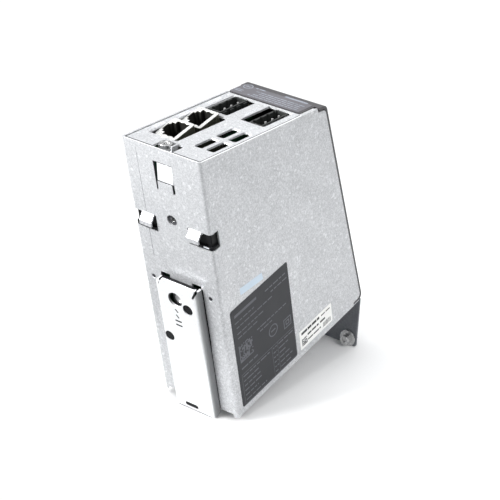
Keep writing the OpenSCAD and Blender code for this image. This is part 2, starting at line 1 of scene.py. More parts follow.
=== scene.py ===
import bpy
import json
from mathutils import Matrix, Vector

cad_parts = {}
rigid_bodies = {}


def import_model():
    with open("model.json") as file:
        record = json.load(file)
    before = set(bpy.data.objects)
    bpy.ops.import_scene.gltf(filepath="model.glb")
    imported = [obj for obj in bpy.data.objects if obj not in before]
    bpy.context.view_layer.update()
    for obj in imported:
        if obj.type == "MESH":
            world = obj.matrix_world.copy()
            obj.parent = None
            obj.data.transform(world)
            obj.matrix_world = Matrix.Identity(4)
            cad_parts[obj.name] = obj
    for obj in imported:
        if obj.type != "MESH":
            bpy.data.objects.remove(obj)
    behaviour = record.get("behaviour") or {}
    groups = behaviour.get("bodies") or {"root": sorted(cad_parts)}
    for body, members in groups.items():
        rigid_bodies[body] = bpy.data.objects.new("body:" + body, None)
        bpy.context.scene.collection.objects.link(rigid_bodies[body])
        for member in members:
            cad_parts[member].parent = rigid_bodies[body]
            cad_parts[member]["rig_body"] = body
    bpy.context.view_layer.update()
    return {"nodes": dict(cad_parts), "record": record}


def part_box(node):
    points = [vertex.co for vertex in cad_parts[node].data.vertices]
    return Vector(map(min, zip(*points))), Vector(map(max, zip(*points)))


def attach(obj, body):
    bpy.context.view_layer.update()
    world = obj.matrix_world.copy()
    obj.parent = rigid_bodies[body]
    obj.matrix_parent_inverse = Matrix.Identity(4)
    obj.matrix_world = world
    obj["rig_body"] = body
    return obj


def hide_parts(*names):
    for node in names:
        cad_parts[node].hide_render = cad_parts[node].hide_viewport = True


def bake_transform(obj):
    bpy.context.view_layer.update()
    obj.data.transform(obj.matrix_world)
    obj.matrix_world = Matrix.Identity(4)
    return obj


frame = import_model()

import json
import math
import random

import bmesh
import bpy
from mathutils import Matrix, Vector

# ---- sizes, in millimetres in the row frame ------------------------------
MM = 0.001
shell_low, shell_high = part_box("housing_shell")
BOTTOM = shell_low.z / MM
HALF_W = shell_high.x / MM
HEIGHT = (shell_high.z - shell_low.z) / MM
TOP_SLOPE = math.radians(13.8)
FRONT_SLOPE = math.radians(6.6)
FRONT_LOW = 104.3     # depth of the front at the shell's bottom
PLATE_END = 72.5      # depth at which the top plate ends
SLIDER_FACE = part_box("din_slider")[1].y / MM

scene = bpy.context.scene
scene.view_settings.view_transform = "Standard"
dice = random.Random(7)


def at(x, depth, z):
    """A point in metres from x, depth in front of the back and height above the shell's bottom, in mm."""
    return Vector((x, -depth, z + BOTTOM)) * MM


def top_z(depth):
    """Height of the inclined top at a depth."""
    return HEIGHT - math.tan(TOP_SLOPE) * depth


# ---- materials -----------------------------------------------------------
# the Mix node's sockets in colour mode, which share their names with those of its other modes
MIX_FIRST, MIX_SECOND, MIX_RESULT = 6, 7, 2


def new_material(name, **values):
    """A principled material and its node tree, with constants set on the shader's own sockets."""
    mat = bpy.data.materials.new(name)
    mat.use_nodes = True
    shader = mat.node_tree.nodes["Principled BSDF"]
    for key, value in values.items():
        shader.inputs[key.replace("_", " ")].default_value = value
    return mat, mat.node_tree, shader


def node(tree, kind, **settings):
    """A new node; each setting is one of its properties or else the value of an input."""
    made = tree.nodes.new(kind)
    for key, value in settings.items():
        if hasattr(made, key):
            setattr(made, key, value)
        else:
            made.inputs[key].default_value = value
    return made


def object_coordinates(tree, stretch=(1, 1, 1)):
    """The object's own coordinates, with a stretch along each axis."""
    place = node(tree, "ShaderNodeTexCoord")
    scale = node(tree, "ShaderNodeMapping", Scale=stretch)
    tree.links.new(place.outputs["Object"], scale.inputs["Vector"])
    return scale.outputs["Vector"]


def noise(tree, where, scale, detail):
    """Cloudy noise from 0 to 1; scale counts its features in a metre."""
    made = node(tree, "ShaderNodeTexNoise", Scale=scale, Detail=detail)
    tree.links.new(where, made.inputs["Vector"])
    return made.outputs["Fac"]


def cell_values(tree, where, scale, channel):
    """A random value for each cell of a pattern; scale counts the cells in a metre."""
    cells = node(tree, "ShaderNodeTexVoronoi", Scale=scale)
    tree.links.new(where, cells.inputs["Vector"])
    split = node(tree, "ShaderNodeSeparateColor")
    tree.links.new(cells.outputs["Color"], split.inputs["Color"])
    return split.outputs[channel]


def ramp(tree, source, stops):
    """A colour ramp; each stop is a place from 0 to 1 and its colour."""
    made = node(tree, "ShaderNodeValToRGB")
    while len(made.color_ramp.elements) < len(stops):
        made.color_ramp.elements.new(0.5)
    for element, (place, colour) in zip(made.color_ramp.elements, stops):
        element.position = place
        element.color = (*colour, 1)
    tree.links.new(source, made.inputs["Fac"])
    return made.outputs["Color"]


def grey(value, tint=(0, 0, 0)):
    """A grey with a slight tint added."""
    return tuple(value + t for t in tint)


def grey_ramp(tree, source, stops):
    """A ramp through greys; each stop is a place from 0 to 1 and a value."""
    return ramp(tree, source, [(place, grey(value)) for place, value in stops])


def blended(tree, first, second, share):
    """Two values mixed, with that share of the second."""
    made = node(tree, "ShaderNodeMix", data_type="FLOAT")
    made.inputs["Factor"].default_value = share
    tree.links.new(first, made.inputs["A"])
    tree.links.new(second, made.inputs["B"])
    return made.outputs["Result"]


def mixed(tree, factor, first, second):
    """A colour that is first where factor is 0 and the plain colour second where it is 1."""
    made = node(tree, "ShaderNodeMix", data_type="RGBA")
    tree.links.new(factor, made.inputs["Factor"])
    tree.links.new(first, made.inputs[MIX_FIRST])
    made.inputs[MIX_SECOND].default_value = (*second, 1)
    return made.outputs[MIX_RESULT]


def facing(tree, axis, stops):
    """A value from how far the surface turns towards either end of one axis of the row frame."""
    surface = node(tree, "ShaderNodeNewGeometry")
    split = node(tree, "ShaderNodeSeparateXYZ")
    tree.links.new(surface.outputs["Normal"], split.inputs["Vector"])
    size = node(tree, "ShaderNodeMath", operation="ABSOLUTE")
    tree.links.new(split.outputs[axis], size.inputs[0])
    return grey_ramp(tree, size.outputs["Value"], stops)


def bump(tree, shader, height, strength, distance):
    """Fine relief from a height value; distance is its depth in metres."""
    made = node(tree, "ShaderNodeBump", Strength=strength, Distance=distance)
    tree.links.new(height, made.inputs["Height"])
    tree.links.new(made.outputs["Normal"], shader.inputs["Normal"])


def galvanised(name, base, spread, roughness, metallic=0.5, painted_shade_walls=None):
    """Zinc sheet: fine spangle with a few bright flakes, cloudy patches and a satin, uneven gloss.
    The last argument is a duller colour painted on the faces turned sideways, as shade."""
    spangle = 1900.0
    cold = (-0.008, 0.0, 0.014)
    flake = base + 2.6 * spread
    mat, tree, shader = new_material(name, Metallic=metallic)
    where = object_coordinates(tree, (1, 1, 0.8))
    speck = blended(tree, cell_values(tree, where, spangle, "Red"),
                    noise(tree, where, 0.9 * spangle, detail=2.0), share=0.6)
    value = blended(tree, speck, noise(tree, where, 80.0, detail=4.0), share=0.2)
    colour = ramp(tree, value, [(0.25, grey(base - spread, cold)), (0.5, grey(base, cold)),
                                (0.75, grey(base + spread, cold))])
    bright = grey_ramp(tree, cell_values(tree, where, 0.55 * spangle, "Green"),
                       [(0.93, 0.0), (0.98, 0.4)])
    colour = mixed(tree, bright, colour, grey(flake, cold))
    # painted shade: faces turned towards either side take the duller colour
    if painted_shade_walls:
        colour = mixed(tree, facing(tree, "X", [(0.45, 0.0), (0.85, 1.0)]), colour, painted_shade_walls)
    tree.links.new(colour, shader.inputs["Base Color"])
    tree.links.new(grey_ramp(tree, value, [(0.2, roughness + 0.1), (0.8, roughness - 0.08)]),
                   shader.inputs["Roughness"])
    bump(tree, shader, speck, strength=0.2, distance=0.00004)
    return mat


def moulded(name, dark, light, roughness, specular=0.5):
    """Moulded plastic: fine grain, slightly cloudy colour and gloss."""
    uneven = 0.06
    mat, tree, shader = new_material(name, Specular_IOR_Level=specular)
    where = object_coordinates(tree)
    cloud = noise(tree, where, 120.0, detail=3.0)
    tree.links.new(ramp(tree, cloud, [(0.3, dark), (0.7, light)]), shader.inputs["Base Color"])
    tree.links.new(grey_ramp(tree, cloud, [(0.3, roughness - uneven), (0.7, roughness + uneven)]),
                   shader.inputs["Roughness"])
    bump(tree, shader, noise(tree, where, 1400.0, detail=2.0), strength=0.35, distance=0.00005)
    return mat


def metal(name, base, roughness, metallic=1.0, painted_shade_walls=None):
    """Drawn or turned bright metal with fine streaks; the last argument is a duller colour painted on
    upright faces, as shade.
    """
    darker, lighter = 0.82, 1.08
    mat, tree, shader = new_material(name, Metallic=metallic)
    streaks = noise(tree, object_coordinates(tree, (1, 1, 8)), 500.0, detail=4.0)
    colour = ramp(tree, streaks, [(0.3, tuple(c * darker for c in base)),
                                  (0.7, tuple(c * lighter for c in base))])
    # painted shade: upright faces take the duller colour
    if painted_shade_walls:
        colour = mixed(tree, facing(tree, "Z", [(0.35, 1.0), (0.8, 0.0)]), colour, painted_shade_walls)
    tree.links.new(colour, shader.inputs["Base Color"])
    tree.links.new(grey_ramp(tree, streaks, [(0.3, roughness + 0.08), (0.7, roughness - 0.06)]),
                   shader.inputs["Roughness"])
    bump(tree, shader, streaks, strength=0.15, distance=0.00004)
    return mat


# base grey, its spread, roughness, metallic and the painted shade of the faces turned sideways
SHEETS = {
    "galvanised_sheet": (0.52, 0.12, 0.42),
    # slider_sheet paints shade on its faces turned sideways
    "slider_sheet": (0.86, 0.05, 0.34, 0.5, (0.24, 0.245, 0.25)),
    "dark_sheet": (0.15, 0.018, 0.55, 0.3),
}
# dark and light colour, roughness and specular level
PLASTICS = {
    "black_plastic": ((0.040, 0.038, 0.041), (0.054, 0.051, 0.055), 0.5),
    "label_film": ((0.025, 0.026, 0.03), (0.032, 0.033, 0.037), 0.5, 0.25),
    "strip_film": ((0.098, 0.096, 0.106), (0.12, 0.117, 0.129), 0.5, 0.2),
    "clear_plastic": ((0.6, 0.68, 0.62), (0.72, 0.8, 0.74), 0.2),
    "liner_plastic": ((0.006, 0.006, 0.007), (0.01, 0.01, 0.011), 0.3, 0.08),
    "jack_plastic": ((0.01, 0.01, 0.009), (0.018, 0.018, 0.016), 0.5, 0.2),
    "header_plastic": ((0.012, 0.013, 0.013), (0.02, 0.022, 0.021), 0.42, 0.3),
    "white_paper": ((0.8, 0.8, 0.78), (0.86, 0.86, 0.84), 0.5),
    "pale_sticker": ((0.5, 0.6, 0.7), (0.56, 0.66, 0.75), 0.4),
    "board_green": ((0.015, 0.1, 0.045), (0.025, 0.14, 0.065), 0.35),
    "capacitor_sleeve": ((0.02, 0.03, 0.08), (0.03, 0.045, 0.11), 0.25),
    "ferrite": ((0.05, 0.047, 0.044), (0.075, 0.07, 0.065), 0.6),
    "chip_black": ((0.02, 0.02, 0.021), (0.03, 0.03, 0.032), 0.45),
    "print_grey": ((0.09, 0.094, 0.106), (0.115, 0.119, 0.134), 0.5, 0.25),
    # a grey that is both the strip's print and the painted shade along the slider's lower end
    "print_light": ((0.2, 0.215, 0.25), (0.25, 0.265, 0.3), 0.5, 0.2),
    # a pale grey that is the top plate's marks and the flange's bare edge, and also the painted highlight
    # on the hook ledges
    "print_pale": ((0.55, 0.57, 0.6), (0.62, 0.64, 0.67), 0.5),
    # a dark grey that is both the sticker's print and the painted shadow in gaps and hollows
    "print_dark": ((0.03, 0.03, 0.034), (0.045, 0.045, 0.05), 0.5, 0.2),
}
# colour, roughness, metallic and the painted shade of upright faces
METALS = {
    "zinc_fastener": ((0.62, 0.62, 0.62), 0.28),
    "spring_wire": ((0.5, 0.5, 0.52), 0.3),
    # jack_shield paints shade on its upright walls, down in the slots
    "jack_shield": ((0.9, 0.9, 0.88), 0.3, 0.7, (0.1, 0.1, 0.075)),
    # contact_metal is gold darkened as painted shade inside the jacks
    "contact_metal": ((0.2, 0.15, 0.06), 0.35),
    "pin_metal": ((0.5, 0.5, 0.5), 0.3, 0.6),
    "spacer_brass": ((0.72, 0.55, 0.24), 0.3),
    "heatsink": ((0.7, 0.71, 0.72), 0.35),
}
MATERIALS = {}
for make, looks in ((galvanised, SHEETS), (moulded, PLASTICS), (metal, METALS)):
    for name, look in looks.items():
        MATERIALS[name] = make(name, *look)
SLOT_OF = {row["node"]: row["material_slot"] for row in frame["record"]["subparts"]}


# ---- mesh helpers --------------------------------------------------------
WELD = 0.000002       # metres within which two corners are one
FLAT_ANGLE = 0.6      # degrees within which two faces are one
BEVEL_ANGLE = 28      # degrees at which an edge is rounded
SHARP_ANGLE = 35      # degrees at which shading breaks
FACE_WEIGHT = 80      # over 50, so that large faces lead the shading


def add_object(name, bm, material, body="housing"):
    """An object from bm, which is freed. It rides on body, unless body is None."""
    mesh = bpy.data.meshes.new(name)
    bm.to_mesh(mesh)
    bm.free()
    obj = bpy.data.objects.new(name, mesh)
    scene.collection.objects.link(obj)
    obj.data.materials.append(MATERIALS[material])
    if body:
        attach(obj, body)
    return obj


def apply_modifiers(obj):
    """Turns what the modifiers make into the object's own mesh."""
    bpy.context.view_layer.update()
    deps = bpy.context.evaluated_depsgraph_get()
    mesh = bpy.data.meshes.new_from_object(obj.evaluated_get(deps))
    obj.modifiers.clear()
    obj.data = mesh


def finish_edges(obj, width, segments=2):
    """Rounds the sharp edges, shades the rest smooth and keeps large faces flat."""
    bevel = obj.modifiers.new("edges", "BEVEL")
    bevel.width = width * MM
    bevel.segments = segments
    bevel.limit_method = "ANGLE"
    bevel.angle_limit = math.radians(BEVEL_ANGLE)
    bevel.miter_outer = "MITER_ARC"
    apply_modifiers(obj)
    obj.data.shade_smooth()
    obj.data.set_sharp_from_angle(angle=math.radians(SHARP_ANGLE))
    weigh = obj.modifiers.new("normals", "WEIGHTED_NORMAL")
    weigh.mode = "FACE_AREA"
    weigh.weight = FACE_WEIGHT
    weigh.keep_sharp = True
    apply_modifiers(obj)


def softened(name, width):
    """A finished piece from a CAD node: welded, its flat faces merged, its edges rounded."""
    source = frame["nodes"][name]
    body = source["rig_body"]
    bm = bmesh.new()
    bm.from_mesh(source.data)
    bmesh.ops.remove_doubles(bm, verts=bm.verts, dist=WELD)
    bmesh.ops.dissolve_limit(bm, angle_limit=math.radians(FLAT_ANGLE), verts=bm.verts, edges=bm.edges)
    obj = add_object(name + "_piece", bm, SLOT_OF[name], body)
    finish_edges(obj, width)
    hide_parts(name)


def slab(bm, outline, place, low, high):
    """A closed prism on a surface; outline is a list of the surface's two coordinates."""
    base = [bm.verts.new(place(a, b, low)) for a, b in outline]
    roof = [bm.verts.new(place(a, b, high)) for a, b in outline]
    count = len(outline)
    bm.faces.new(base[::-1])
    bm.faces.new(roof)
    for i in range(count):
        j = (i + 1) % count
        bm.faces.new((base[i], base[j], roof[j], roof[i]))


def oblong(a0, a1, b0, b1):
    """The outline of a rectangle."""
    return [(a0, b0), (a1, b0), (a1, b1), (a0, b1)]


def circle(a, b, radius, steps=28):
    """A round outline about a, b."""
    turns = [2 * math.pi * k / steps for k in range(steps)]
    return [(a + radius * math.cos(t), b + radius * math.sin(t)) for t in turns]


def rounded(corners, radius, steps=5):
    """An outline with its corners rounded."""
    points = []
    count = len(corners)
    for i, corner in enumerate(corners):
        here = Vector(corner)
        back = (Vector(corners[i - 1]) - here).normalized()
        ahead = (Vector(corners[(i + 1) % count]) - here).normalized()
        half = math.acos(back.dot(ahead)) / 2
        centre = here + (back + ahead).normalized() * radius / math.sin(half)
        first = here + back * radius / math.tan(half) - centre
        last = here + ahead * radius / math.tan(half) - centre
        for k in range(steps + 1):
            points.append(tuple(centre + first.lerp(last, k / steps).normalized() * radius))
    return points


def bar(bm, a0, a1, b0, b1, place, low, high):
    """A straight-sided slab."""
    slab(bm, oblong(a0, a1, b0, b1), place, low, high)


def ring(bm, a, b, inner, outer, place, low, high, steps=28):
    """A flat ring round a, b."""
    loops = []
    for near, far in zip(circle(a, b, inner, steps), circle(a, b, outer, steps)):
        loops.append([bm.verts.new(place(*point, height))
                      for point, height in ((near, low), (far, low), (far, high), (near, high))])
    for one, two in zip(loops, loops[1:] + loops[:1]):
        for k in range(4):
            j = (k + 1) % 4
            bm.faces.new((one[k], one[j], two[j], two[k]))


def outline_square(bm, a0, a1, b0, b1, wide, place, low, high):
    """Four bars round a square."""
    put = dict(place=place, low=low, high=high)
    bar(bm, a0, a1, b0, b0 + wide, **put)
    bar(bm, a0, a1, b1 - wide, b1, **put)
    bar(bm, a0, a0 + wide, b0 + wide, b1 - wide, **put)
    bar(bm, a1 - wide, a1, b0 + wide, b1 - wide, **put)


def words(bm, a0, a1, b, tall, place, low, high, long=5.0, shortest=0.35, gap=0.7):
    """A line of plain bars that stand where a line of print would. shortest is a share of long."""
    least_room = 0.5
    a = a0
    while a < a1 - least_room:
        end = min(a1, a + dice.uniform(shortest, 1.0) * long)
        bar(bm, a, end, b - tall / 2, b + tall / 2, place, low, high)
        a = end + gap


def block(bm, a0, b0, size, cells, place, low, high):
    """A square patch of random cells with two solid edges."""
    step = size / cells
    for i in range(cells):
        for j in range(cells):
            solid = i == 0 or j == 0
            if solid or dice.random() < 0.5:
                bar(bm, a0 + i * step, a0 + (i + 1) * step, b0 + j * step, b0 + (j + 1) * step,
                    place, low, high)


# ---- surfaces ------------------------------------------------------------
# each takes two coordinates on the surface and how far a point stands proud of it, in millimetres
def upright_face(x, way):
    """The placing function of an upright face at x that looks along X, towards way."""
    def place(depth, z, proud):
        return at(x + way * proud, depth, z)
    return place


on_side = upright_face(-HALF_W, -1)


def on_back(x, z, proud):
    """A point on the back."""
    return at(x, -proud, z)


def on_slope(x, depth, proud):
    """A point on the inclined top, proud along its normal."""
    fall = math.sin(TOP_SLOPE) * proud
    return at(x, depth + fall, top_z(depth) + math.cos(TOP_SLOPE) * proud)


def across_slope(across, depth, proud):
    """A point on the inclined top, measured across it from the labelled side."""
    return on_slope(across - HALF_W, depth, proud)


def down_slope(depth, across, proud):
    """The same point with its coordinates swapped, for print that runs towards the front."""
    return across_slope(across, depth, proud)


def on_front(x, z, proud):
    """A point on the sloping front, proud along the depth."""
    return at(x, FRONT_LOW - math.tan(FRONT_SLOPE) * z + proud, z)


def on_tongue(x, z, proud):
    """A point on the outer face of the rear tongue, which leans in as it rises."""
    foot_depth, foot_z, lean = 0.15, 130.65, 0.1256
    return at(x, foot_depth + lean * (z - foot_z) - proud, z)


# ---- pieces from the CAD, with the width of their rounded edges ----------
EDGE_WIDTHS = {
    "housing_shell": 0.14, "rail_hooks": 0.14, "top_plate": 0.16, "bottom_plate": 0.15,
    "front_cover": 0.25, "inner_liner": 0.2, "rear_nut": 0.15, "shield_flange": 0.15,
    "flange_screws": 0.3, "flange_washers": 0.2, "flange_nuts": 0.3, "din_slider": 0.16,
    "spring_post": 0.25, "jack_shield_rear": 0.12, "jack_shield_front": 0.12,
    "jack_insert_rear": 0.1, "jack_insert_front": 0.1, "header_right": 0.15,
    "header_left": 0.15, "header_right_pins": 0.2, "header_left_pins": 0.2,
    "ground_screw": 0.35, "ground_washer": 0.15, "ground_lug": 0.2, "motor_socket": 0.2,
    "encoder_socket": 0.2, "motor_pins": 0.2, "light_pipes": 0.3,
}
for part, width in EDGE_WIDTHS.items():
    softened(part, width)


# ---- labels and prints ---------------------------------------------------
# how far the films and the ink on them stand proud of the sheet or the cover
FILM, INK = 0.118, 0.14
STRIP_FILM, STRIP_INK = 0.095, 0.115
FRONT_FILM, FRONT_INK = 1.21, 1.235
INK_ROOT = 0.02
STICKER_FILM = 0.09


def inked(place, film, ink):
    """Where print on a film goes: from just inside the film to the ink's own face."""
    return dict(place=place, low=film - INK_ROOT, high=ink)


def printed(name, draw, material, body="housing"):
    """One print: everything that draw puts on the surface, as one piece."""
    bm = bmesh.new()
    draw(bm)
    bmesh.ops.recalc_face_normals(bm, faces=bm.faces)
    obj = add_object(name, bm, material, body)


def card(name, node_name, corners, radius, place, low, high, material=None):
    """A label of film with rounded corners and a soft edge, in place of its CAD node."""
    bm = bmesh.new()
    slab(bm, rounded(corners, radius), place, low, high)
    bmesh.ops.recalc_face_normals(bm, faces=bm.faces)
    obj = add_object(name, bm, material or SLOT_OF[node_name])
    finish_edges(obj, 0.03, segments=1)
    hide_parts(node_name)


def side_label_print(bm):
    """Grey print of the black side label: a heading, notes, two plain marks and a table."""
    put = inked(on_side, FILM, INK)

    # the heading, and the notes: height, start and end of each line
    bar(bm, 7.5, 24.3, 56.7, 58.2, **put)
    words(bm, 31, 47, 56.5, 0.7, **put)
    notes = ((53.5, 7.2, 22), (53.5, 35, 47.7), (50.4, 8, 35.5), (39.5, 22, 45), (37.2, 24, 33.5),
             (46.8, 8, 28), (44.2, 8, 24))
    for b, a0, a1 in notes:
        words(bm, a0, a1, b, 0.65, **put)

    # the coded square, a ring with a bar and one square in another
    block(bm, 7.5, 29.3, 10.3, 14, **put)
    words(bm, 7.7, 20.4, 25.6, 0.8, **put)
    ring(bm, 33.5, 31, 2.9, 3.5, **put)
    bar(bm, 31.8, 35.2, 30.6, 31.4, **put)
    for inset in (0.0, 1.5):
        outline_square(bm, 41.6 + inset, 47.4 - inset, 25.4 + inset, 31.0 - inset, 0.55, **put)

    # the table: two level lines, four upright ones and three columns of words
    foot, head, half_line = 4.2, 22.2, 0.12
    rows, first_row, row_pitch = 6, 20.6, 2.9
    for b in (head, foot):
        bar(bm, 7, 49, b - half_line, b + half_line, **put)
    for a in (7.1, 30.8, 35.3, 48.9):
        bar(bm, a - 0.1, a + 0.1, foot, head, **put)
    for row in range(rows):
        b = first_row - row_pitch * row
        words(bm, 8, dice.uniform(18, 29.5), b, 0.7, **put)
        words(bm, 31.6, 34.6, b, 0.7, long=2.4, **put)
        words(bm, 36, dice.uniform(40, 47.8), b, 0.7, **put)


def rating_print(bm):
    """Dark print of the white sticker: three rows, a coded square and a row of thin bars."""
    put = inked(on_side, FILM, INK)
    words(bm, 53.9, 69, 13.2, 1.5, gap=0.5, **put)
    words(bm, 70.5, 78, 13.2, 0.7, **put)
    for a0, a1, b, tall in ((58.7, 68, 9.9, 1.1), (69.3, 73.5, 9.9, 1.1), (58.7, 69.5, 6.8, 0.8)):
        words(bm, a0, a1, b, tall, gap=0.5, **put)
    thin_bars, first_bar, bar_pitch = 16, 71.5, 0.42
    for k in range(thin_bars):
        a = first_bar + bar_pitch * k
        bar(bm, a, a + dice.choice((0.12, 0.24)), 5.2, 8.0, **put)
    block(bm, 53.8, 5.6, 4.2, 12, **put)


def strip_print(bm):
    """Pale print on the cover's top strip: rows of notes, a heading, two strokes and a ringed bar."""
    put = inked(across_slope, STRIP_FILM, STRIP_INK)
    first_row, row_pitch = 76.3, 1.9
    for row, (a0, a1) in enumerate(((6, 34.7), (6.6, 33.5), (7, 31), (6, 34))):
        words(bm, a0, a1, first_row + row_pitch * row, 0.6, long=4.2, gap=0.45, **put)
    words(bm, 31, 36.6, 85.3, 1.0, **put)
    bar(bm, 7, 20, 85.2, 86.6, **put)
    for depth in (77.4, 78.9):
        bar(bm, 39.2, 43.6, depth, depth + 0.6, **put)
    ring(bm, 40.6, 84.4, 2.0, 2.5, **put)
    bar(bm, 39.4, 41.8, 84.1, 84.7, **put)


def top_marks(bm):
    """Faint position marks beside the jacks and the headers."""
    put = dict(place=down_slope, low=-0.35, high=-0.28, long=1.6, shortest=0.375, gap=0.5)
    for d0, d1 in ((18.5, 26), (36, 43.5), (56, 66)):
        for across in (41.4, 42.6):
            words(bm, d0, d1, across, 0.6, **put)
    words(bm, 56, 64, 20.4, 0.6, **put)


def front_print(bm):
    """Plain rows on the front label, under the four lights."""
    put = inked(on_front, FRONT_FILM, FRONT_INK)
    rows, first_row, row_pitch = 8, 86.5, 2.4
    bar(bm, -12, 2, 90.2, 91.8, **put)
    for row in range(rows):
        words(bm, -12, dice.uniform(2, 12), first_row - row_pitch * row, 0.8, **put)
    block(bm, 5.0, 62.5, 7.2, 12, **put)
    outline_square(bm, -12, -7, 62.5, 67.5, 0.45, **put)


def score_line(bm):
    """The faint witness line of a press tool down the back, tapered at both ends."""
    left, right, middle = 14.4, 14.62, 14.51
    slab(bm, [(middle, 84), (right, 86), (right, 144), (middle, 146), (left, 144), (left, 86)],
         on_back, -0.05, 0.012)


card("side_label_film", "side_label", oblong(4.9, 49.3, 3.5, 62), 1.2, on_side, 0.0, FILM)
printed("side_label_marks", side_label_print, "print_grey")
card("rating_sticker_film", "rating_sticker", oblong(52.3, 79.4, 3.95, 15.4), 0.6, on_side, 0.0, FILM)
printed("rating_sticker_marks", rating_print, "print_dark")
card("small_sticker_film", "small_sticker", [(13.9, 70), (14.1, 66), (31, 64), (30.5, 68)], 0.4,
     on_side, 0.0, STICKER_FILM)
card("cover_strip_film", "cover_label_strip", oblong(-18.6, 21.8, 74.7, 85.85), 0.5,
     on_slope, -0.045, STRIP_FILM, "strip_film")
printed("cover_strip_marks", strip_print, "print_light")
printed("top_plate_marks", top_marks, "print_pale")
card("front_label_film", "front_label", oblong(-14.6, 14.6, 60.4, 95.6), 1.0, on_front, 1.05, FRONT_FILM)
printed("front_label_marks", front_print, "print_grey")
printed("back_score_line", score_line, "print_grey")


# ---- painted shade and highlights on the sheet metal, its marks and edges ---
def plate_gap_painted_shadow(bm):
    """Painted shadow: dark bars in the gap round the top plate."""
    put = dict(place=on_slope, low=-0.9, high=-0.24)
    edge = HALF_W - 1.0
    bar(bm, -edge, 0.8 - edge, 1.3, PLATE_END, **put)
    for a0, a1 in ((-edge, -5.7), (6.2, edge)):
        bar(bm, a0, a1, 1.02, 2.1, **put)


def back_shadows(bm):
    """Painted shadow: dark lines round the rear tongue and on its window's walls, and dark floors painted
    in the hole and the two dimples.
    """
    bar(bm, -4.8, 4.3, 130.22, 130.64, on_back, -0.75, -0.1)
    for a0, a1 in ((-5.25, -3.1), (-1.8, 5.35)):
        bar(bm, a0, a1, 140.66, 140.98, on_back, -0.75, -0.02)
    for wall, foot, top in ((5.4, 125.45, 140.85), (-3.9, 125.45, 130.1)):
        bar(bm, 0.16, 0.98, foot, top, upright_face(wall, -1), 0.01, 0.06)
    ring(bm, -0.4, 110, 1.35, 2.76, on_back, -0.98, -0.8)
    for x, z in ((-16.4, 71.25), (17.2, 71.85)):
        ring(bm, x, z, 0.1, 0.95, on_back, -0.5, -0.2, steps=16)


def slider_gap_painted_shadow(bm):
    """Painted shadow: a dark strip in the gap along the foot of the slider's wall, beside the labelled
    side.
    """
    slab(bm, [(-12.72, 75.2), (-12.1, 75.2), (-12.1, 2.4), (-12.5, 2.4), (-12.5, 38), (-12.85, 44)],
         on_back, -0.02, 0.02)


def rim_painted_highlight(bm):
    """Painted highlight: bright bars along the sheet's rim at the back and one side of the top plate."""
    put = dict(place=on_slope, low=-0.2, high=0.015)
    near, far, end = 0.3, 0.96, 1.6
    bar(bm, end - HALF_W, HALF_W - end, near, far, **put)
    bar(bm, near - HALF_W, far - HALF_W, end, PLATE_END, **put)


def tongue_painted_highlight(bm):
    """Painted highlight: a bright film on the outer face of the tongue that leans in behind the rear
    window.
    """
    slab(bm, rounded(oblong(-4.6, 4.1, 130.9, 140.4), 0.4), on_tongue, -0.1, 0.03)


def slider_marks(bm):
    """Position marks on the slider: two slanted strokes over two level ones."""
    put = dict(place=on_back, low=SLIDER_FACE - 0.03, high=SLIDER_FACE + 0.015)
    for z in (54.4, 51.9):
        bar(bm, -0.8, 3.0, z - 0.42, z + 0.42, **put)
    for z in (60.5, 57.2):
        slab(bm, [(0.2, z - 0.7), (0.9, z - 1.0), (2.3, z + 0.7), (1.7, z + 1.0)], **put)


def slider_foot_painted_shade(bm):
    """Painted shade: a grey strip along the slider's lower end."""
    slab(bm, [(-10.4, -1.18), (10.4, -1.18), (10.0, -0.75), (-10.0, -0.75)],
         on_back, SLIDER_FACE - 0.9, SLIDER_FACE)


def slider_painted_shade(bm):
    """Painted shade: dark films behind the slider's two small holes, in its slot and across its top."""
    inner = SLIDER_FACE - 1.12
    sunk = SLIDER_FACE - 0.35
    slab(bm, circle(-5.8, 63.75, 2.8), on_back, inner, sunk)
    slab(bm, circle(8.4, 42.65, 2.7), on_back, inner, sunk)
    slab(bm, rounded(oblong(-2.35, 5.55, 0.36, 2.64), 1.1), on_back, inner, SLIDER_FACE - 0.14)
    bar(bm, -10.5, 10.5, 74.65, 75.25, on_back, 0.4, inner)


def ledge_painted_highlights(bm):
    """Painted highlight: a pale bar along the ledge in the foot of each hook opening."""
    for x0, x1 in ((-20.2, -17.2), (17.2, 20.2)):
        bar(bm, x0, x1, 101.15, 101.95, on_back, -0.22, -0.08)


def flange_trim(bm):
    """Bare cut edge of the flange's bend, below the cover, at both sides."""
    edge = HALF_W - 0.6
    for way in (-1, 1):
        bar(bm, 98.2, 103.2, -0.4, 0.45, upright_face(way * edge, way), -0.02, 0.05)


# painted shadow in the gap round the top plate
printed("plate_gap_painted_shadow", plate_gap_painted_shadow, "print_dark")
# painted shadow round the rear tongue and in the hole and dimples
printed("back_painted_shadows", back_shadows, "print_dark")
# painted shadow in the gap beside the slider's wall
printed("slider_wall_painted_shadow", slider_gap_painted_shadow, "liner_plastic")
# painted highlight along the sheet's rim, in the bright slider grey
printed("sheet_rim_painted_highlight", rim_painted_highlight, "slider_sheet")
# painted highlight on the rear tongue
printed("tongue_painted_highlight", tongue_painted_highlight, "slider_sheet")
printed("slider_position_marks", slider_marks, "liner_plastic", "slider")
# painted shade along the slider's lower end
printed("slider_lower_edge_painted_shade", slider_foot_painted_shade, "print_light", "slider")
# painted shade behind the slider's holes, in its slot and across its top
printed("slider_painted_shade_film", slider_painted_shade, "liner_plastic", "slider")
# painted highlight on the hook ledges
printed("ledge_painted_highlights", ledge_painted_highlights, "print_pale")
printed("flange_bare_edge", flange_trim, "print_pale")


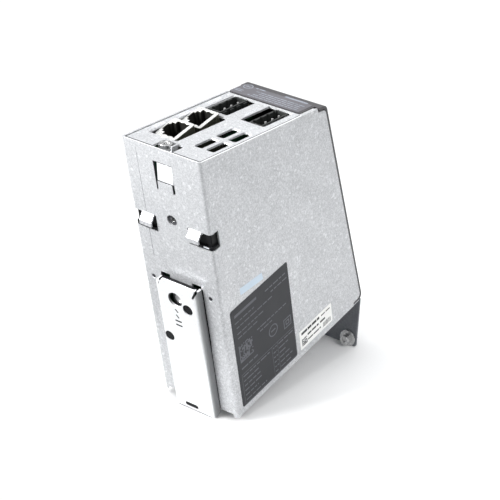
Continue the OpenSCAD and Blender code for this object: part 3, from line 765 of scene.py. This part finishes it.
# ---- spring --------------------------------------------------------------
def tube(bm, path, radius, sides=10):
    """A round wire along a path of points."""
    rings = []
    normal = (path[1] - path[0]).orthogonal().normalized()
    for i, point in enumerate(path):
        along = (path[min(i + 1, len(path) - 1)] - path[max(i - 1, 0)]).normalized()
        normal = (normal - along * normal.dot(along)).normalized()
        across = along.cross(normal)
        rings.append([bm.verts.new(point + (normal * math.cos(t) + across * math.sin(t)) * radius)
                      for t in (2 * math.pi * k / sides for k in range(sides))])
    for one, two in zip(rings, rings[1:]):
        for k in range(sides):
            j = (k + 1) % sides
            bm.faces.new((one[k], one[j], two[j], two[k]))
    bm.faces.new(rings[0][::-1])
    bm.faces.new(rings[-1])


def build_spring():
    """Extension spring: an eye round the post's neck, close turns and a hook at the slider's tab."""
    axis_x, axis_out = 0.4, 1.6
    eye, eye_out, eye_z, eye_start, eye_turn, eye_steps = 2.0, 0.72, 66, -75, 330, 25
    lead_x, lead_z, lead_steps = 0.5, 64.05, 5
    coil, wire, turns, turn_steps = 1.0, 0.22, 13, 16
    high, low = 61.5, 47.2
    path = []
    for k in range(eye_steps + 1):
        t = math.radians(eye_start + eye_turn * (1 - k / eye_steps))
        path.append(at(axis_x + eye * math.cos(t), -eye_out, eye_z + eye * math.sin(t)))
    for k in range(1, lead_steps):
        part = k / lead_steps
        path.append(at(axis_x + lead_x + (coil - lead_x) * part,
                       -eye_out - (axis_out - eye_out) * part,
                       lead_z - (lead_z - high) * part))
    steps = turn_steps * turns
    for k in range(steps + 1):
        t = 2 * math.pi * turns * k / steps
        path.append(at(axis_x + coil * math.cos(t), -axis_out - coil * math.sin(t),
                       high - (high - low) * k / steps))
    for across, fall in ((0.55, 0.25), (0.0, 0.55)):
        path.append(at(axis_x + across, -axis_out, low - fall))
    bm = bmesh.new()
    tube(bm, path, wire * MM)
    bmesh.ops.recalc_face_normals(bm, faces=bm.faces)
    spring = add_object("slider_spring_coil", bm, "spring_wire", None)
    spring.data.shade_smooth()
    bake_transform(spring)
    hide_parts("slider_spring")


build_spring()

# the CAD nodes that no piece has replaced
for name, obj in frame["nodes"].items():
    if not obj.hide_render:
        obj.data.materials.clear()
        obj.data.materials.append(MATERIALS[SLOT_OF[name]])


# ---- floor, lights and camera --------------------------------------------
# the drive's middle in metres in the row frame, which the lights stand round
MIDDLE_Y = -0.05
MIDDLE_Z = -0.02


def build_floor():
    """A pale plane just below the slider's lower edge and the flange's tip, on which the drive leans.
    All its sizes are in metres in the row frame."""
    slider_low, slider_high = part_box("din_slider")
    flange_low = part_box("shield_flange")[0].z
    flange_tip_y = -0.0969
    behind, ahead, side = 0.04, -0.45, 0.5
    clearance = 0.0001
    rise = (slider_low.z - flange_low) / (slider_high.y - flange_tip_y)
    zero = slider_low.z - slider_high.y * rise - clearance
    bm = bmesh.new()
    corners = [bm.verts.new((x, y, zero + y * rise)) for x, y in oblong(-side, side, ahead, behind)]
    bm.faces.new(corners)
    mesh = bpy.data.meshes.new("floor")
    bm.to_mesh(mesh)
    bm.free()
    floor = bpy.data.objects.new("floor", mesh)
    scene.collection.objects.link(floor)
    mat, tree, shader = new_material("floor_paper", Roughness=0.9)
    paper = noise(tree, object_coordinates(tree), 40.0, detail=2.0)
    tree.links.new(grey_ramp(tree, paper, [(0.3, 0.96), (0.7, 0.97)]), shader.inputs["Base Color"])
    floor.data.materials.append(mat)


def softbox(name, towards, distance, size, power, spread=180, aim=MIDDLE_Z):
    """A square area light in one direction from the drive, aimed at a height on its middle axis."""
    data = bpy.data.lights.new(name, "AREA")
    data.energy = power
    data.size = size
    data.spread = math.radians(spread)
    lamp = bpy.data.objects.new(name, data)
    scene.collection.objects.link(lamp)
    middle = Vector((0, MIDDLE_Y, MIDDLE_Z))
    lamp.location = middle + Vector(towards).normalized() * distance
    look = lamp.location - Vector((0, MIDDLE_Y, aim))
    lamp.rotation_euler = look.to_track_quat("Z", "Y").to_euler()
    lamp.visible_camera = False


def build_light():
    """White studio: the backdrop reads as white, and softer surroundings light the drive."""
    world = bpy.data.worlds.new("studio")
    world.use_nodes = True
    tree = world.node_tree
    soft = tree.nodes["Background"]
    soft.inputs["Color"].default_value = (0.97, 0.985, 1.0, 1)
    soft.inputs["Strength"].default_value = 0.6
    white = node(tree, "ShaderNodeBackground", Color=(1, 1, 1, 1), Strength=1.05)
    seen = node(tree, "ShaderNodeLightPath")
    mix = node(tree, "ShaderNodeMixShader")
    tree.links.new(seen.outputs["Is Camera Ray"], mix.inputs["Fac"])
    tree.links.new(soft.outputs["Background"], mix.inputs[1])
    tree.links.new(white.outputs["Background"], mix.inputs[2])
    tree.links.new(mix.outputs["Shader"], tree.nodes["World Output"].inputs["Surface"])
    scene.world = world
    softbox("key", (0.4, 0.68, 0.7), distance=0.42, size=0.2, power=0.42, spread=50, aim=0.06)
    softbox("overhead", (0.15, 0.1, 1.0), distance=1.3, size=0.8, power=9.8)
    softbox("side_fill", (-1.0, -0.3, 0.9), distance=1.0, size=0.7, power=3.3)
    softbox("front_fill", (0.2, -1.0, 0.4), distance=1.2, size=0.8, power=2.2)


def build_camera():
    """A long lens that looks down on the back and the labelled side."""
    data = bpy.data.cameras.new("camera")
    data.lens = 127.9
    data.sensor_width = 36
    data.clip_end = 10
    camera = bpy.data.objects.new("camera", data)
    scene.collection.objects.link(camera)
    right = Vector((-0.79309, -0.59995, -0.10522))
    up = Vector((0.29777, -0.53257, 0.79227))
    back = right.cross(up)
    camera.matrix_world = Matrix((right, up, back)).transposed().to_4x4()
    camera.location = at(-453.55, -459.71, 572.83)
    scene.camera = camera


build_floor()
build_light()
build_camera()
